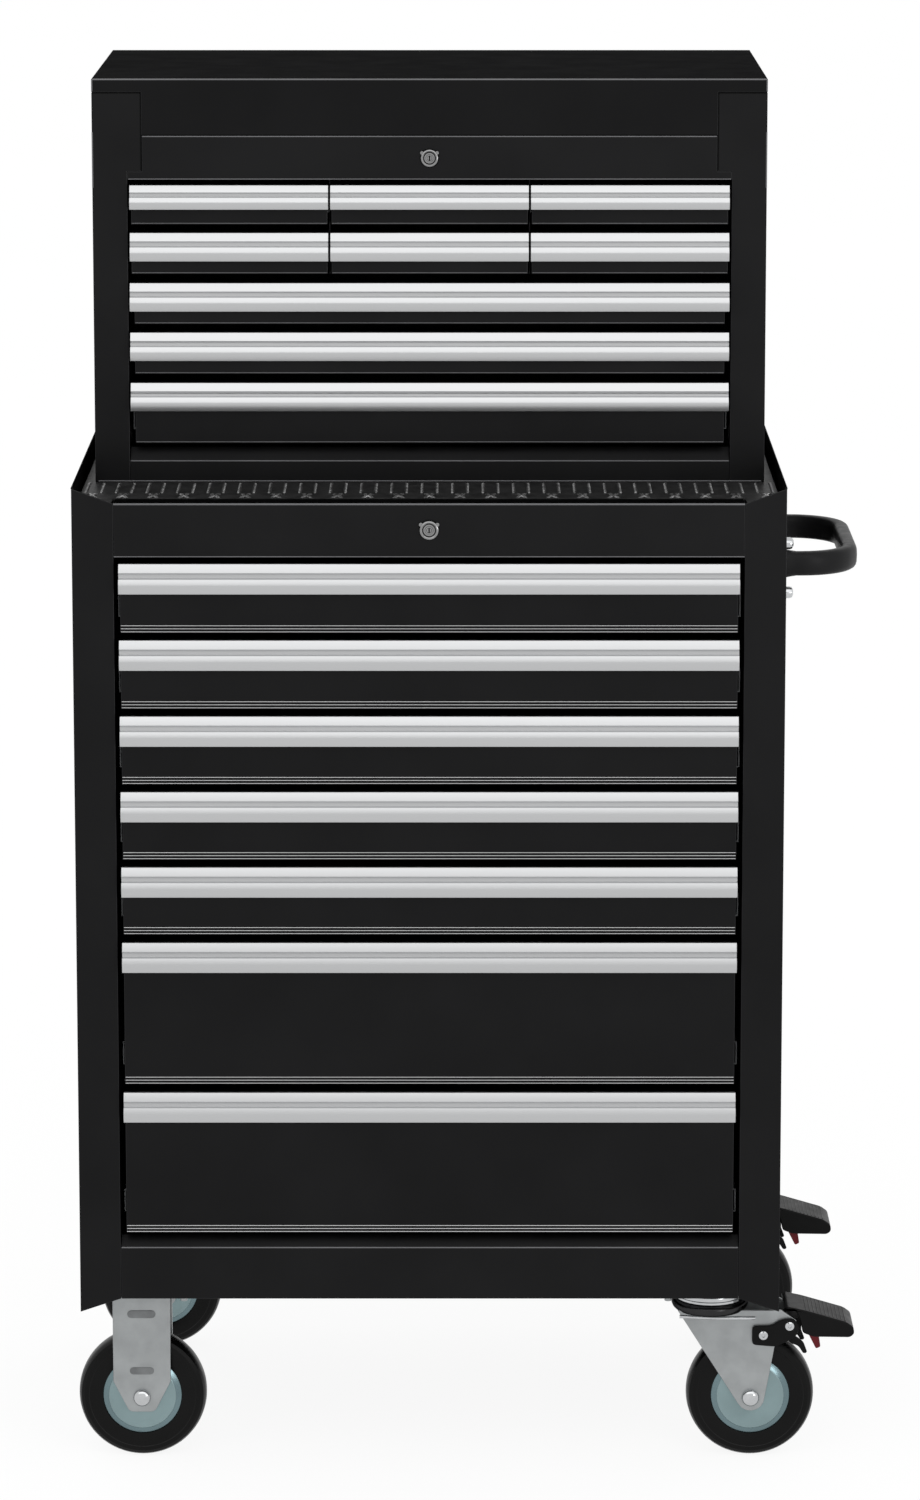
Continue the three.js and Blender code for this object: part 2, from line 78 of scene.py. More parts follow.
# Taken from the frame, in millimetres: half widths, heights, and how far the chest stands back.
CABINET_HALF = (cabinet_high.x - cabinet_low.x) / 2 / MM
RAIL_HALF = (rail_high.x - rail_low.x) / 2 / MM
LID_HALF = (lid_high.x - lid_low.x) / 2 / MM
CABINET_LIP = cabinet_high.z / MM
CABINET_TOP = rail_high.z / MM
CABINET_RAIL = rail_low.z / MM
FOOT = chest_low.z / MM
FLAP_LOW = lid_low.z / MM
LID_TOP = lid_high.z / MM
SETBACK = (lid_low.y - cabinet_low.y) / MM

# Edges within a CAD solid, in millimetres. The chest's heights are above its foot.
CABINET_SILL, CABINET_SILL_HALF = 231, 302
CHEST_SILL, CHEST_HEM, CHEST_FRONT_HALF = 20.7, 298.4, 293
CHEST_POST, CHEST_LIP, FLAP_HALF = 307, 382, 280
TRAY_HALF = {"cabinet": 289, "wide": 280, "small": 83.5}


def at(x, y, z):
    """A point from millimetres about the cabinet's middle, its front face and the floor."""
    return Vector((CENTRE_X + x * MM, cabinet_low.y + y * MM, z * MM))


def joint_at(name):
    return Vector(next(joint["pos_m"] for joint in frame["joints"] if joint["name"] == name))


# ---------------------------------------------------------------- materials


def noise(tree, scale, detail=2.0, stretch=(1, 1, 1)):
    coords = tree.nodes.new("ShaderNodeTexCoord")
    mapping = tree.nodes.new("ShaderNodeMapping")
    mapping.inputs["Scale"].default_value = stretch
    texture = tree.nodes.new("ShaderNodeTexNoise")
    texture.inputs["Scale"].default_value = scale
    texture.inputs["Detail"].default_value = detail
    tree.links.new(coords.outputs["Object"], mapping.inputs["Vector"])
    tree.links.new(mapping.outputs["Vector"], texture.inputs["Vector"])
    return texture.outputs["Fac"]


def spread(tree, value, low, high):
    """Noise, stretched from its usual middle band to run between two values."""
    ranged = tree.nodes.new("ShaderNodeMapRange")
    ranged.inputs["From Min"].default_value = 0.3
    ranged.inputs["From Max"].default_value = 0.7
    ranged.inputs["To Min"].default_value = low
    ranged.inputs["To Max"].default_value = high
    tree.links.new(value, ranged.inputs["Value"])
    return ranged.outputs["Result"]


def surface(name, colour, roughness, metallic=0.0, specular=0.5, edge=None, patch=9.0, shade=0.12,
            grain=1200.0, relief=0.03, stretch=(1, 1, 1), rough_shift=0.05):
    """A finish whose colour and roughness drift in soft patches, over a fine grain in its bump.

    patch and grain are noise scales, shade is the drift of the colour, relief is in millimetres, and edge
    tints the reflection at a low angle.
    """
    made = bpy.data.materials.new(name)
    made.use_nodes = True
    tree = made.node_tree
    shader = tree.nodes["Principled BSDF"]
    shader.inputs["Metallic"].default_value = metallic
    shader.inputs["Specular IOR Level"].default_value = specular
    if edge is not None:
        shader.inputs["Specular Tint"].default_value = (edge, edge, edge, 1)
    drift = spread(tree, noise(tree, patch, 3.0, stretch), 0, 1)
    mix = tree.nodes.new("ShaderNodeMix")
    mix.data_type = "RGBA"
    mix.inputs["A"].default_value = (*[c * (1 - shade) for c in colour], 1)
    mix.inputs["B"].default_value = (*[min(c * (1 + shade), 1) for c in colour], 1)
    tree.links.new(drift, mix.inputs["Factor"])
    tree.links.new(mix.outputs["Result"], shader.inputs["Base Color"])
    worn = noise(tree, patch * 3, 4.0, stretch)
    worn = spread(tree, worn, roughness - rough_shift, roughness + rough_shift)
    tree.links.new(worn, shader.inputs["Roughness"])
    bump = tree.nodes.new("ShaderNodeBump")
    bump.inputs["Strength"].default_value = 0.5
    bump.inputs["Distance"].default_value = relief * MM
    tree.links.new(noise(tree, grain, 2.0, stretch), bump.inputs["Height"])
    tree.links.new(bump.outputs["Normal"], shader.inputs["Normal"])
    return made


# The coatings are near black and hold their depth at a low angle, so their grazing reflection is held down.
PAINT = surface("black_powder_coat", (0.0143, 0.0143, 0.0147), 0.45, metallic=1.0, edge=0.06, shade=0.08,
                grain=1500, relief=0.06)
DRAWER = surface("drawer_powder_coat", (0.0136, 0.0136, 0.0140), 0.42, metallic=1.0, edge=0.06, shade=0.08,
                 grain=1700, relief=0.06)
# The lid takes a darker copy of the powder coat with no specular reflection: painted shade on the top of the
# chest.
SHADED_LID_COAT = surface("lid_coat_with_painted_shade", (0.0105, 0.0105, 0.0108), 0.5, metallic=0.35, specular=0.0, edge=0.06,
              shade=0.08, grain=1500, relief=0.06)
# A lighter copy of the coat for the faces of the rounded bends: a painted highlight along the edges.
BEND_HIGHLIGHT = surface("painted_bend_highlight", (0.030, 0.030, 0.031), 0.4, metallic=1.0, edge=0.2, grain=1500,
               relief=0.02)
# Light grey for rods along the folds: painted highlights where the hems catch the light.
FOLD_HIGHLIGHT = surface("painted_fold_highlight", (0.10, 0.10, 0.105), 0.34, specular=0.4, grain=1500, relief=0.02)
PULL = surface("satin_anodised_aluminium", (0.48, 0.485, 0.49), 0.32, metallic=1.0, patch=5, shade=0.025,
               grain=900, relief=0.010, stretch=(0.02, 1, 1), rough_shift=0.03)
ZINC = surface("bright_zinc_plate", (0.305, 0.318, 0.322), 0.42, metallic=0.9, patch=38, grain=700,
               relief=0.02)
PRESSED = surface("shaded_zinc_pressing", (0.17, 0.177, 0.18), 0.5, metallic=0.9, patch=60, shade=0.2,
                  grain=700, relief=0.02)
DISC = surface("blue_passivated_zinc", (0.21, 0.285, 0.295), 0.32, metallic=0.9, patch=30, shade=0.08,
               grain=800, relief=0.015)
# A darker copy of the disc's zinc for its bevelled ring: painted shade on the slope.
DISC_RING_SHADE = surface("disc_ring_painted_shade", (0.14, 0.20, 0.215), 0.22, metallic=0.95, patch=30, shade=0.1, grain=800,
               relief=0.01)
CHROME = surface("polished_chrome", (0.50, 0.51, 0.52), 0.16, metallic=1.0, patch=60, shade=0.08, grain=500,
                 relief=0.006)
# Near white lines on the pressed ribs of the cabinet's drawers: painted highlights.
RIB_HIGHLIGHT = surface("painted_rib_highlight", (0.50, 0.50, 0.505), 0.3, metallic=0.9, patch=3, shade=0.04, grain=900,
              relief=0.004)
LOCK_METAL = surface("nickel_plated_lock", (0.24, 0.24, 0.24), 0.24, metallic=1.0, patch=80, shade=0.1,
                     grain=700, relief=0.01)
SLIDE = surface("galvanised_slide_steel", (0.24, 0.245, 0.25), 0.4, metallic=0.9, patch=45, grain=500,
                relief=0.02)
# Near black steel for the zinc fork's crown: a painted dark reflection on its pressed dome.
CROWN_DARK_REFLECTION = surface("crown_painted_dark_reflection", (0.035, 0.035, 0.036), 0.25, metallic=1.0, edge=0.4, patch=40,
                      shade=0.2, grain=600, relief=0.02)
TYRE = surface("black_tyre_rubber", (0.002, 0.002, 0.002), 0.3, specular=0.12, patch=30, shade=0.2,
               grain=1100, relief=0.08)
MAT = surface("black_tread_rubber", (0.026, 0.026, 0.026), 0.45, metallic=0.3, edge=0.3, patch=70, shade=0.45,
              grain=700, relief=0.3)
# Light grey metal on the tread bars and bright metal on the crossed bars: painted glints on the black rubber.
TREAD_GLINT = surface("tread_tops_painted_glint", (0.16, 0.16, 0.16), 0.34, metallic=0.7, edge=0.7, patch=120, shade=0.6,
                grain=700, relief=0.2)
CROSS_GLINT = surface("tread_crosses_painted_glint", (0.5, 0.5, 0.5), 0.3, metallic=0.9, edge=0.9, patch=90,
                      shade=0.5, grain=700, relief=0.2)
GRIP = surface("textured_black_grip", (0.007, 0.007, 0.0075), 0.42, specular=0.14, patch=30, shade=0.15,
               grain=1300, relief=0.18)
PLASTIC = surface("satin_black_plastic", (0.005, 0.005, 0.005), 0.34, specular=0.07, patch=30, shade=0.15,
                  grain=1000, relief=0.06)
RED = surface("dark_red_plastic", (0.09, 0.003, 0.006), 0.35, specular=0.2, patch=60, shade=0.15, grain=900,
              relief=0.05)
LINER = surface("ribbed_drawer_liner", (0.018, 0.018, 0.019), 0.7, specular=0.3, patch=12, shade=0.25,
                grain=260, relief=0.5, stretch=(0.02, 1, 1))
# Near black for the keyhole and for the seams on the chest's front: painted shade in the hole and in the
# gaps.
SHADE_BLACK = surface("painted_shade_black", (0.003, 0.003, 0.003), 0.8, specular=0.1)


# ---------------------------------------------------------------- mesh helpers


def add_box(bm, lo, hi):
    """A box between two corners in metres."""
    size = Vector(hi) - Vector(lo)
    middle = (Vector(hi) + Vector(lo)) / 2
    bmesh.ops.create_cube(bm, size=1, matrix=Matrix.Translation(middle) @ Matrix.Diagonal((*size, 1)))


AXES = {"x": (1, 2, 0), "y": (2, 0, 1), "z": (0, 1, 2)}  # where u, v and the height along an axis go


def along(axis, u, v, height):
    point = [0.0, 0.0, 0.0]
    for place, value in zip(AXES[axis], (u, v, height)):
        point[place] = value
    return Vector(point)


def bridge(bm, a, b):
    """Faces between two rings of vertices, either of which may be a single point."""
    for i in range(max(len(a), len(b))):
        j = (i + 1) % max(len(a), len(b))
        if len(a) == 1:
            bm.faces.new((a[0], b[j], b[i]))
        elif len(b) == 1:
            bm.faces.new((a[i], a[j], b[0]))
        else:
            bm.faces.new((a[i], a[j], b[j], b[i]))


def add_prism(bm, axis, outline, start, end, origin=Vector((0, 0, 0))):
    """An outline in millimetres pushed along an axis: (y, z) along x, (x, z) along y, (x, y) along z."""
    rings = []
    for height in (start, end):
        points = [along(axis, v, u, height) if axis == "y" else along(axis, u, v, height) for u, v in outline]
        rings.append([bm.verts.new(origin + point * MM) for point in points])
    bm.faces.new(rings[0])
    bm.faces.new(rings[1])
    bridge(bm, *rings)


def add_lathe(bm, axis, profile, origin, segments=48, closed=False):
    """A profile of (radius, height) in millimetres turned about an axis through origin."""
    rings = []
    for radius, height in profile:
        ring = []
        for i in range(segments if radius else 1):
            angle = 2 * math.pi * i / segments
            place = along(axis, radius * math.cos(angle), radius * math.sin(angle), height)
            ring.append(bm.verts.new(origin + place * MM))
        rings.append(ring)
    for a, b in zip(rings, rings[1:]):
        bridge(bm, a, b)
    if closed:
        bridge(bm, rings[-1], rings[0])


def add_rod(bm, start, end, radius, sides=8):
    """A round bar between two points in metres, its radius in millimetres."""
    turn = (end - start).to_track_quat("Z", "Y").to_matrix().to_4x4()
    place = Matrix.Translation((start + end) / 2) @ turn
    bmesh.ops.create_cone(bm, cap_ends=True, segments=sides, radius1=radius * MM, radius2=radius * MM,
                          depth=(end - start).length, matrix=place)


def bend(a, control, b, steps):
    """Points after a on a curve that leaves a towards a control point and ends at b."""
    points = []
    for i in range(1, steps + 1):
        t = i / steps
        pull = 2 * t * (1 - t)
        points.append(tuple((1 - t) ** 2 * a[k] + pull * control[k] + t * t * b[k] for k in (0, 1)))
    return points


def rounded(outline, radius=3.0, steps=4):
    """An outline with its corners rounded off, less where a side is short."""
    points = [Vector(point) for point in outline]
    made = []
    for i, corner in enumerate(points):
        before = points[i - 1] - corner
        after = points[(i + 1) % len(points)] - corner
        cut = min(radius, before.length / 2.2, after.length / 2.2)
        start = corner + before.normalized() * cut
        end = corner + after.normalized() * cut
        made += [tuple(start)] + bend(start, corner, end, steps)
    return made


def add_bevel(made, width, segments=2, material=-1):
    """Rounded edges, in millimetres. Their faces may take a material slot of their own."""
    rounding = made.modifiers.new("rounded_edges", "BEVEL")
    rounding.width = width * MM
    rounding.segments = segments
    rounding.limit_method = "ANGLE"
    rounding.angle_limit = math.radians(30)
    rounding.use_clamp_overlap = False
    rounding.material = material
    rounding.harden_normals = material < 0


def piece(name, bm, material, body, bevel=0.0, segments=2, angle=35, replaces=()):
    """Turns a bmesh into a finished object that rides on a body. Edges sharper than the angle stay sharp."""
    bmesh.ops.recalc_face_normals(bm, faces=bm.faces)
    mesh = bpy.data.meshes.new(name)
    bm.to_mesh(mesh)
    bm.free()
    for face in mesh.polygons:
        face.use_smooth = True
    mesh.set_sharp_from_angle(angle=math.radians(angle))
    made = bpy.data.objects.new(name, mesh)
    bpy.context.scene.collection.objects.link(made)
    mesh.materials.append(material)
    if bevel:
        add_bevel(made, bevel, segments)
    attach(made, body)
    if replaces:
        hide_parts(*replaces)


def dress(node, material, fold=None, bevel=0.45):
    """Gives a CAD node its finish and rounds its edges, which may take a lighter second finish: a painted
    highlight along the bends.
    """
    made = nodes[node]
    made.data.materials.clear()
    made.data.materials.append(material)
    if fold:
        made.data.materials.append(fold)
    weld = made.modifiers.new("joined_corners", "WELD")
    weld.merge_threshold = 1e-5
    add_bevel(made, bevel, 2, 1 if fold else -1)


# ---------------------------------------------------------------- sheet metal, with painted highlights on its bends and folds

PANELS = ("cabinet_left_side", "cabinet_right_side", "cabinet_back", "cabinet_top_pan", "cabinet_bottom_pan",
          "cabinet_front_rail", "chest_left_side", "chest_right_side", "chest_back", "chest_floor",
          "chest_till_tray", "chest_lid")
for panel in PANELS:
    dress(panel, SHADED_LID_COAT if panel == "chest_lid" else PAINT, BEND_HIGHLIGHT)
dress("top_mat", MAT, bevel=0.5)
for end in ("front", "rear"):
    dress(f"rigid_fork_{end}", ZINC, bevel=0.8)
    dress(f"swivel_fork_{end}", ZINC, bevel=0.8)
    dress(f"swivel_plate_{end}", CHROME, bevel=0.6)


def fold_lines(name, runs, body, radius, material=FOLD_HIGHLIGHT):
    """Rounded hems along folded edges, from pairs of points in metres. Unless told otherwise they take the
    light grey of a painted highlight.
    """
    bm = bmesh.new()
    for start, end in runs:
        add_rod(bm, start, end, radius, 10)
    piece(name, bm, material, body, angle=50)


# Light rods along the front's folds and corners: painted highlights.
FRONT_FOLDS = (  # a name and body, then a radius, half length, depth and height in millimetres
    ("cabinet_top_fold", "root", 1.0, RAIL_HALF, 0.6, CABINET_TOP - 0.6),
    ("cabinet_rail_hem", "root", 0.6, RAIL_HALF, 0.3, CABINET_RAIL + 0.4),
    ("cabinet_sill_fold", "root", 0.7, CABINET_SILL_HALF, 0.3, CABINET_SILL),
    ("chest_lid_front_fold", "lid", 0.9, LID_HALF - 0.8, SETBACK + 0.7, LID_TOP - 0.7),
    ("chest_rail_fold", "root", 0.7, FLAP_HALF - 1, SETBACK + 0.5, FLAP_LOW - 0.5 - 0.6),
    ("chest_rail_hem", "root", 0.6, CHEST_FRONT_HALF, SETBACK + 0.3, FOOT + CHEST_HEM),
    ("chest_sill_fold", "root", 0.7, CHEST_FRONT_HALF, SETBACK + 0.3, FOOT + CHEST_SILL),
    ("chest_foot_fold", "root", 0.7, LID_HALF - 3, SETBACK + 0.4, FOOT + 0.8),
)
for name, body, radius, half, depth, height in FRONT_FOLDS:
    fold_lines(name, [(at(-half, depth, height), at(half, depth, height))], body, radius)

CORNER_FOLDS = (("chest_corner_folds", "root", FOOT + 290, FOOT + 344),
                ("lid_corner_folds", "lid", LID_TOP - 12, LID_TOP - 1))
for name, body, low, high in CORNER_FOLDS:
    corners = [(side * (LID_HALF - 0.6), SETBACK + 0.6) for side in BOTH]
    fold_lines(name, [(at(x, y, low), at(x, y, high)) for x, y in corners], body, 0.8)

hem_places = [side * (CABINET_HALF - 0.8) for side in BOTH]
fold_lines("cabinet_side_hems", [(at(x, 2, CABINET_LIP), at(x, 455, CABINET_LIP)) for x in hem_places],
           "root", 1.3, PAINT)


def seam(name, strips, body):
    """Dark shadow gaps along the joins on the chest's front, from (x0, x1, z0, z1) in millimetres."""
    bm = bmesh.new()
    for x0, x1, z0, z1 in strips:
        add_box(bm, at(x0, SETBACK - 0.12, z0), at(x1, SETBACK + 0.3, z1))
    piece(name, bm, SHADE_BLACK, body)


post_seams = [side * (FLAP_HALF + 0.85) for side in BOTH]
lip_seams = [sorted((side * FLAP_HALF, side * LID_HALF)) for side in BOTH]
seam("chest_post_seams", [(x - 0.5, x + 0.5, FOOT + CHEST_POST, FOOT + CHEST_LIP) for x in post_seams],
     "root")
seam("chest_lip_seams", [(low + 0.6, high - 0.6, FOOT + CHEST_LIP - 0.6, FOOT + CHEST_LIP + 0.4)
                         for low, high in lip_seams], "root")
seam("lid_flap_seam", [(-FLAP_HALF + 0.5, FLAP_HALF - 0.5, FLAP_LOW + 0.1, FLAP_LOW + 1.1)], "lid")

# ---------------------------------------------------------------- drawers

PULL_PROUD = 14.0  # all of these are in millimetres
SLIDE_START = 46  # behind the drawer's front
SLIDE_HALF = 9.0
SLIDE_SPACE = 12.9  # from the tray's side to the post that carries the outer member
INNER_DEPTH, OUTER_DEPTH = 6.6, 7.4
CHANNEL_SHEET, CHANNEL_LIP = 1.2, 2.2
CABINET_RIBS, CHEST_RIBS = (1.0, 4.0, 7.0), (1.2,)  # lines pressed into a front, above its lower edge


def pull_outline(height):
    """The section of a pull in (y, z) from its lower rear corner, with y into the drawer."""
    ledge = [(-0.3, 0), (-0.3, height - 1.5), (-7.2, height), (-8.0, height * 0.985),
             (-11.0, height * 0.73), (-11.2, height * 0.70)]
    groove = [(-10.2, height * 0.67), (-9.4, height * 0.60), (-9.4, height * 0.53), (-12.3, height * 0.50)]
    band = bend(groove[-1], (-13.6, height * 0.38), (-PULL_PROUD, height * 0.30), 7)
    band += bend(band[-1], (-14.1, height * 0.20), (-12.2, 0), 7)
    return ledge + groove + band + [(-9.6, 0), (-9.6, height * 0.10), (-3.0, height * 0.10), (-3.0, 0)]


def channel(bm, side, x, half, depth, z, start, end):
    """A slide member: a C-shaped channel about height z, its web at x and its lips turned to one side."""
    lower = [(0, -half), (depth, -half), (depth, CHANNEL_LIP - half),
             (depth - CHANNEL_SHEET, CHANNEL_LIP - half), (depth - CHANNEL_SHEET, CHANNEL_SHEET - half),
             (CHANNEL_SHEET, CHANNEL_SHEET - half)]
    outline = lower + [(u, -v) for u, v in reversed(lower)]
    add_prism(bm, "y", [(x + side * u, z + v) for u, v in outline], start, end)


def finish_front(body, ribs):
    """The tray's finish, the extruded pull in place of the CAD one, and the pressed lines under it, drawn
    light as painted highlights.
    """
    tray_low, tray_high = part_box(body + "_tray")
    pull_low, pull_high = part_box(body + "_pull")
    dress(body + "_tray", DRAWER, BEND_HIGHLIGHT, 0.4)
    bm = bmesh.new()
    add_prism(bm, "x", pull_outline((pull_high.z - pull_low.z) / MM), pull_low.x / MM, pull_high.x / MM,
              Vector((0, tray_low.y, pull_low.z)))
    piece(body + "_extruded_pull", bm, PULL, body, bevel=0.25, segments=1, angle=28,
          replaces=[body + "_pull"])
    runs = []
    for rise in ribs:
        ends = (tray_low.x + 0.6 * MM, tray_high.x - 0.6 * MM)
        runs.append([Vector((x, tray_low.y, (tray_low.z / MM + rise) * MM)) for x in ends])
    fold_lines(body + "_front_ribs", runs, body, 0.42, RIB_HIGHLIGHT if len(ribs) > 1 else FOLD_HIGHLIGHT)


def slides(body, half):
    """Liner and both slides of a drawer: inner channels on it, outer ones on the chest."""
    lo, hi = (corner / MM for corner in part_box(body + "_tray"))
    middle = (lo.x + hi.x) / 2
    front, back = lo.y + SLIDE_START, hi.y
    tall = min(SLIDE_HALF, (hi.z - lo.z - 18) / 2)
    z = lo.z + 6 + tall + 3
    inner, outer, liner = bmesh.new(), bmesh.new(), bmesh.new()
    for side in BOTH:
        channel(inner, side, middle + side * (half + 0.1), tall, INNER_DEPTH, z, front, back - 2)
        channel(outer, -side, middle + side * (half + SLIDE_SPACE), tall + 2.6, OUTER_DEPTH, z, front + 2,
                back + 4)
    add_box(liner, Vector((middle - half + 2.2, lo.y + 13, lo.z + 3.4)) * MM,
            Vector((middle + half - 2.2, back - 2, lo.z + 5.2)) * MM)
    piece(body + "_inner_slides", inner, SLIDE, body, angle=30)
    piece(body + "_outer_slides", outer, SLIDE, "root", angle=30)
    piece(body + "_liner", liner, LINER, body, bevel=0.4)


for body in frame["bodies"]:
    if "_drawer_" in body:
        kind = "cabinet" if body.startswith("cabinet") else body.split("_")[1]
        finish_front(body, CABINET_RIBS if kind == "cabinet" else CHEST_RIBS)
        slides(body, TRAY_HALF[kind])


def posts(name, inner, outer, depths, low, high):
    """Folded posts inside both side panels, which carry the outer slides."""
    bm = bmesh.new()
    for side in BOTH:
        near, far = sorted((side * inner, side * outer))
        for y in depths:
            add_box(bm, at(near, y, low), at(far, y + 26, high))
    piece(name, bm, PAINT, "root", bevel=1.2)


posts("cabinet_slide_posts", 303.5, 339, (28, 396), 183, 942)
posts("chest_slide_posts", 294.5, 324, (SETBACK + 24, SETBACK + 262), FOOT + 3, FOOT + 296)

# ---------------------------------------------------------------- lid hinge

KNUCKLE, KNUCKLE_GAP, KNUCKLE_R = 24.0, 0.6, 2.6
LEAF_SHEET, LEAF_GAP, LEAF_TALL = 1.1, 1.2, 24


def lid_hinge():
    """A piano hinge: knuckles taken in turn by the leaf on the lid and the leaf on the chest."""
    made = {"root": bmesh.new(), "lid": bmesh.new()}
    pin = joint_at("lid_hinge")
    middle = Vector((CENTRE_X, pin.y, pin.z))
    leaf_half = LID_HALF - 12
    count = int(2 * leaf_half / KNUCKLE)
    for i in range(count):
        left = (i - count / 2) * KNUCKLE
        reach = (left + KNUCKLE_GAP / 2, left + KNUCKLE - KNUCKLE_GAP / 2)
        ends = [middle + Vector((x * MM, 0, 0)) for x in reach]
        add_rod(made["lid" if i % 2 else "root"], *ends, KNUCKLE_R, 14)
    heights = {"root": (pin.z - LEAF_TALL * MM, pin.z - LEAF_GAP * MM),
               "lid": (pin.z + LEAF_GAP * MM, lid_high.z - 0.6 * MM)}
    face = pin.y - KNUCKLE_R * MM
    for body, bm in made.items():
        low, high = heights[body]
        add_box(bm, (CENTRE_X - leaf_half * MM, face, low),
                (CENTRE_X + leaf_half * MM, face + LEAF_SHEET * MM, high))
        piece(f"lid_hinge_leaf_{body}", bm, SLIDE, body, angle=40)


lid_hinge()

# ---------------------------------------------------------------- locks

BEZEL = ((6.6, -1.2), (7.0, -2.6), (8.2, -3.4), (9.4, -3.0), (10.2, -1.8), (10.4, -0.2), (6.6, -0.2))
PLUG = ((0, -2.4), (2.4, -2.4), (2.8, -2.8), (4.0, -2.8), (4.4, -2.3), (5.8, -2.3), (6.3, -1.8), (6.3, 20),
        (0, 20))


def lock(body, scale):
    """A fixed bezel with two small lugs, and a plug with a keyhole and a cam that turns inside it."""
    centre = joint_at(body + "_turn")
    bezel, plug, keyhole = bmesh.new(), bmesh.new(), bmesh.new()
    add_lathe(bezel, "y", [(r * scale, y) for r, y in BEZEL], centre, 40, closed=True)
    for angle in (35, 145):
        lug = Vector((math.cos(math.radians(angle)), 0, math.sin(math.radians(angle)))) * 10.2 * scale * MM
        ends = [centre + lug + Vector((0, y * MM, 0)) for y in (-2.6, -0.2)]
        add_rod(bezel, *ends, 2.0 * scale, 14)
    piece(body + "_bezel", bezel, LOCK_METAL, "root", bevel=0.2, angle=30)
    add_lathe(plug, "y", [(r * scale, y) for r, y in PLUG], centre, 40)
    add_box(plug, centre + Vector((-5, 21, -17)) * MM, centre + Vector((5, 23.2, 5)) * MM)
    piece(body + "_plug", plug, LOCK_METAL, body, replaces=[body], angle=30)
    # The keyhole is a near black slab just proud of the plug: painted shade for the hole.
    add_box(keyhole, centre + Vector((-0.6, -3.0, -2.6)) * MM, centre + Vector((0.6, -1.5, 2.6)) * MM)
    piece(body + "_keyhole", keyhole, SHADE_BLACK, body)


lock("cabinet_lock", 0.95)
lock("chest_lock", 0.88)

# ---------------------------------------------------------------- push handle

HANDLE_Z, HANDLE_BEND, HANDLE_SIDES = 890, 50.0, 20
BAR_THICK, BAR_TALL = 8, 12  # half of the bar's section
FLANGE_HALF, FLANGE_SHEET = 16, 5
BOLT_HEAD = ((0, 9.2), (3.2, 9.0), (5.2, 7.8), (5.9, 5.6), (6.0, 2.2), (7.4, 2.0), (7.4, 0), (0, 0))


def handle_corner(x, y, start, end, steps=10):
    angles = [math.radians(start + (end - start) * i / steps) for i in range(steps + 1)]
    return [Vector((x + HANDLE_BEND * math.cos(a), y + HANDLE_BEND * math.sin(a), HANDLE_Z)) for a in angles]


def handle_path(wall, outer, front, rear):
    """The middle of the bar: out along the front arm, along the grip and back along the rear arm."""
    arm = [wall + 1 + (outer - HANDLE_BEND - wall - 1) * i / 4 for i in range(4)]
    grip = rear - front - 2 * HANDLE_BEND
    path = [Vector((x, front, HANDLE_Z)) for x in arm]
    path += handle_corner(outer - HANDLE_BEND, front + HANDLE_BEND, -90, 0)
    path += [Vector((outer, front + HANDLE_BEND + grip * i / 8, HANDLE_Z)) for i in range(1, 8)]
    path += handle_corner(outer - HANDLE_BEND, rear - HANDLE_BEND, 0, 90)
    return path + [Vector((x, rear, HANDLE_Z)) for x in reversed(arm)]


def squarish(value):
    """A sine or cosine pushed outwards, which turns a circle of them into a rounded square."""
    return math.copysign(abs(value) ** 0.65, value)


def add_bar(bm, path, wall):
    """The bar round its path, thicker where it meets the wall."""
    rings = []
    for i, point in enumerate(path):
        ahead = (path[min(i + 1, len(path) - 1)] - path[max(i - 1, 0)]).normalized()
        out = Vector((ahead.y, -ahead.x, 0))
        swell = 1.0 + 0.25 * max(0.0, 1 - (point.x - wall) / 16)
        ring = []
        for k in range(HANDLE_SIDES):
            a = 2 * math.pi * k / HANDLE_SIDES
            across = out * squarish(math.cos(a)) * BAR_THICK * swell
            up = Vector((0, 0, 1)) * squarish(math.sin(a)) * BAR_TALL * swell
            ring.append(bm.verts.new((point + across + up) * MM))
        rings.append(ring)
    for a, b in zip(rings, rings[1:]):
        bridge(bm, a, b)
    bm.faces.new(rings[0])
    bm.faces.new(rings[-1])


def push_handle():
    """A smooth D-shaped bar with rounded bolting flanges, standing where the CAD handle stands."""
    lo, hi = (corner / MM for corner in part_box("push_handle"))
    wall, outer = lo.x, hi.x - BAR_THICK
    arms = (lo.y + FLANGE_HALF + 1, hi.y - FLANGE_HALF - 1)
    bar, flanges, bolts = bmesh.new(), bmesh.new(), bmesh.new()
    add_bar(bar, handle_path(wall, outer, *arms), wall)
    for y in arms:
        add_box(flanges, Vector((wall, y - FLANGE_HALF, lo.z)) * MM,
                Vector((wall + FLANGE_SHEET, y + FLANGE_HALF, hi.z)) * MM)
        for level in (lo.z + 11, hi.z - 11):
            add_lathe(bolts, "x", BOLT_HEAD, Vector((wall + FLANGE_SHEET, y, level)) * MM, 24)
    piece("push_handle_bar", bar, GRIP, "root", replaces=["push_handle"], angle=60)
    piece("push_handle_flanges", flanges, GRIP, "root", bevel=1.8, segments=3)
    piece("push_handle_bolts", bolts, CHROME, "root", angle=30)


push_handle()

# ---------------------------------------------------------------- casters

